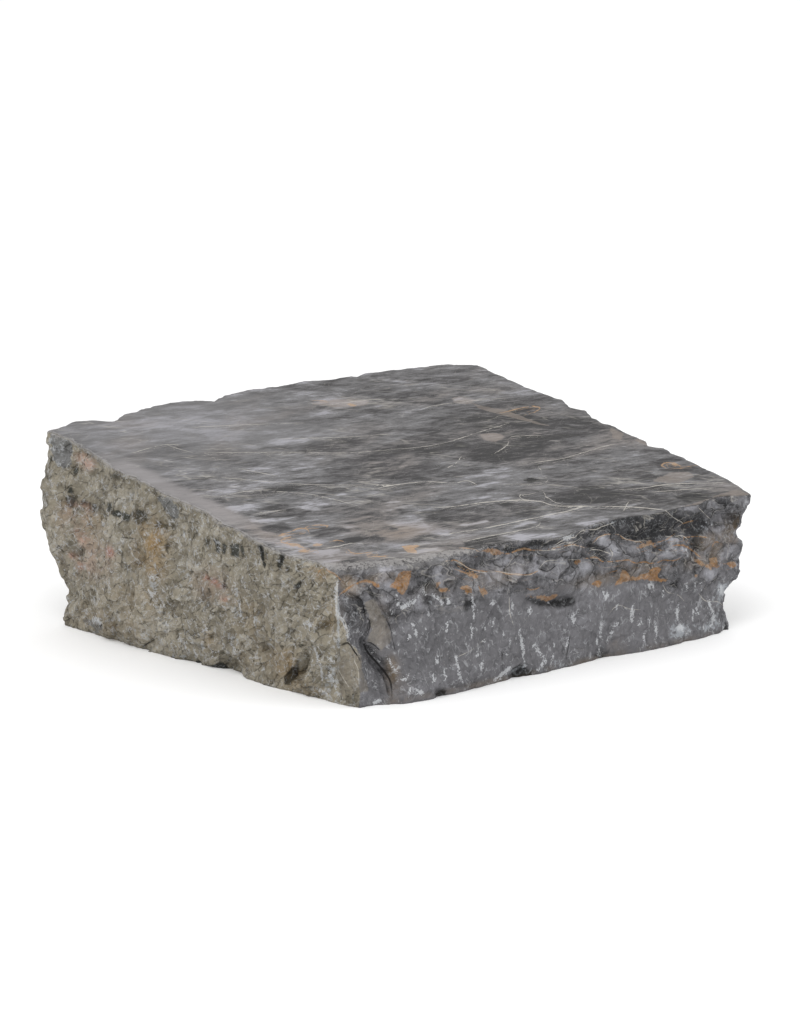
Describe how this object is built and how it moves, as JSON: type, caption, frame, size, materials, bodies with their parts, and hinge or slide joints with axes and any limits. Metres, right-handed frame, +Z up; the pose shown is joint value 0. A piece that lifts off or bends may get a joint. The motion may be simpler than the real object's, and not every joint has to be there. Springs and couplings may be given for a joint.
{
  "type": "marble block",
  "caption": "Rough quarried block of veined grey marble with a honed, gently sloping top and a flat base, used as a plinth, a low table or a garden seat.",
  "frame": {"origin": "centre of the bounding box on the plane that the block rests on", "axes": "+X along the longest side, from the beige side to the hidden right side; +Y from the low grey front to the high back; +Z up"},
  "size_m": [1.03, 0.92, 0.3813],
  "materials": {
    "marble": "honed satin on top, broken and matt on the sides"
  },
  "bodies": {
    "root": {"marble_block": "marble"}
  },
  "joints": []
}
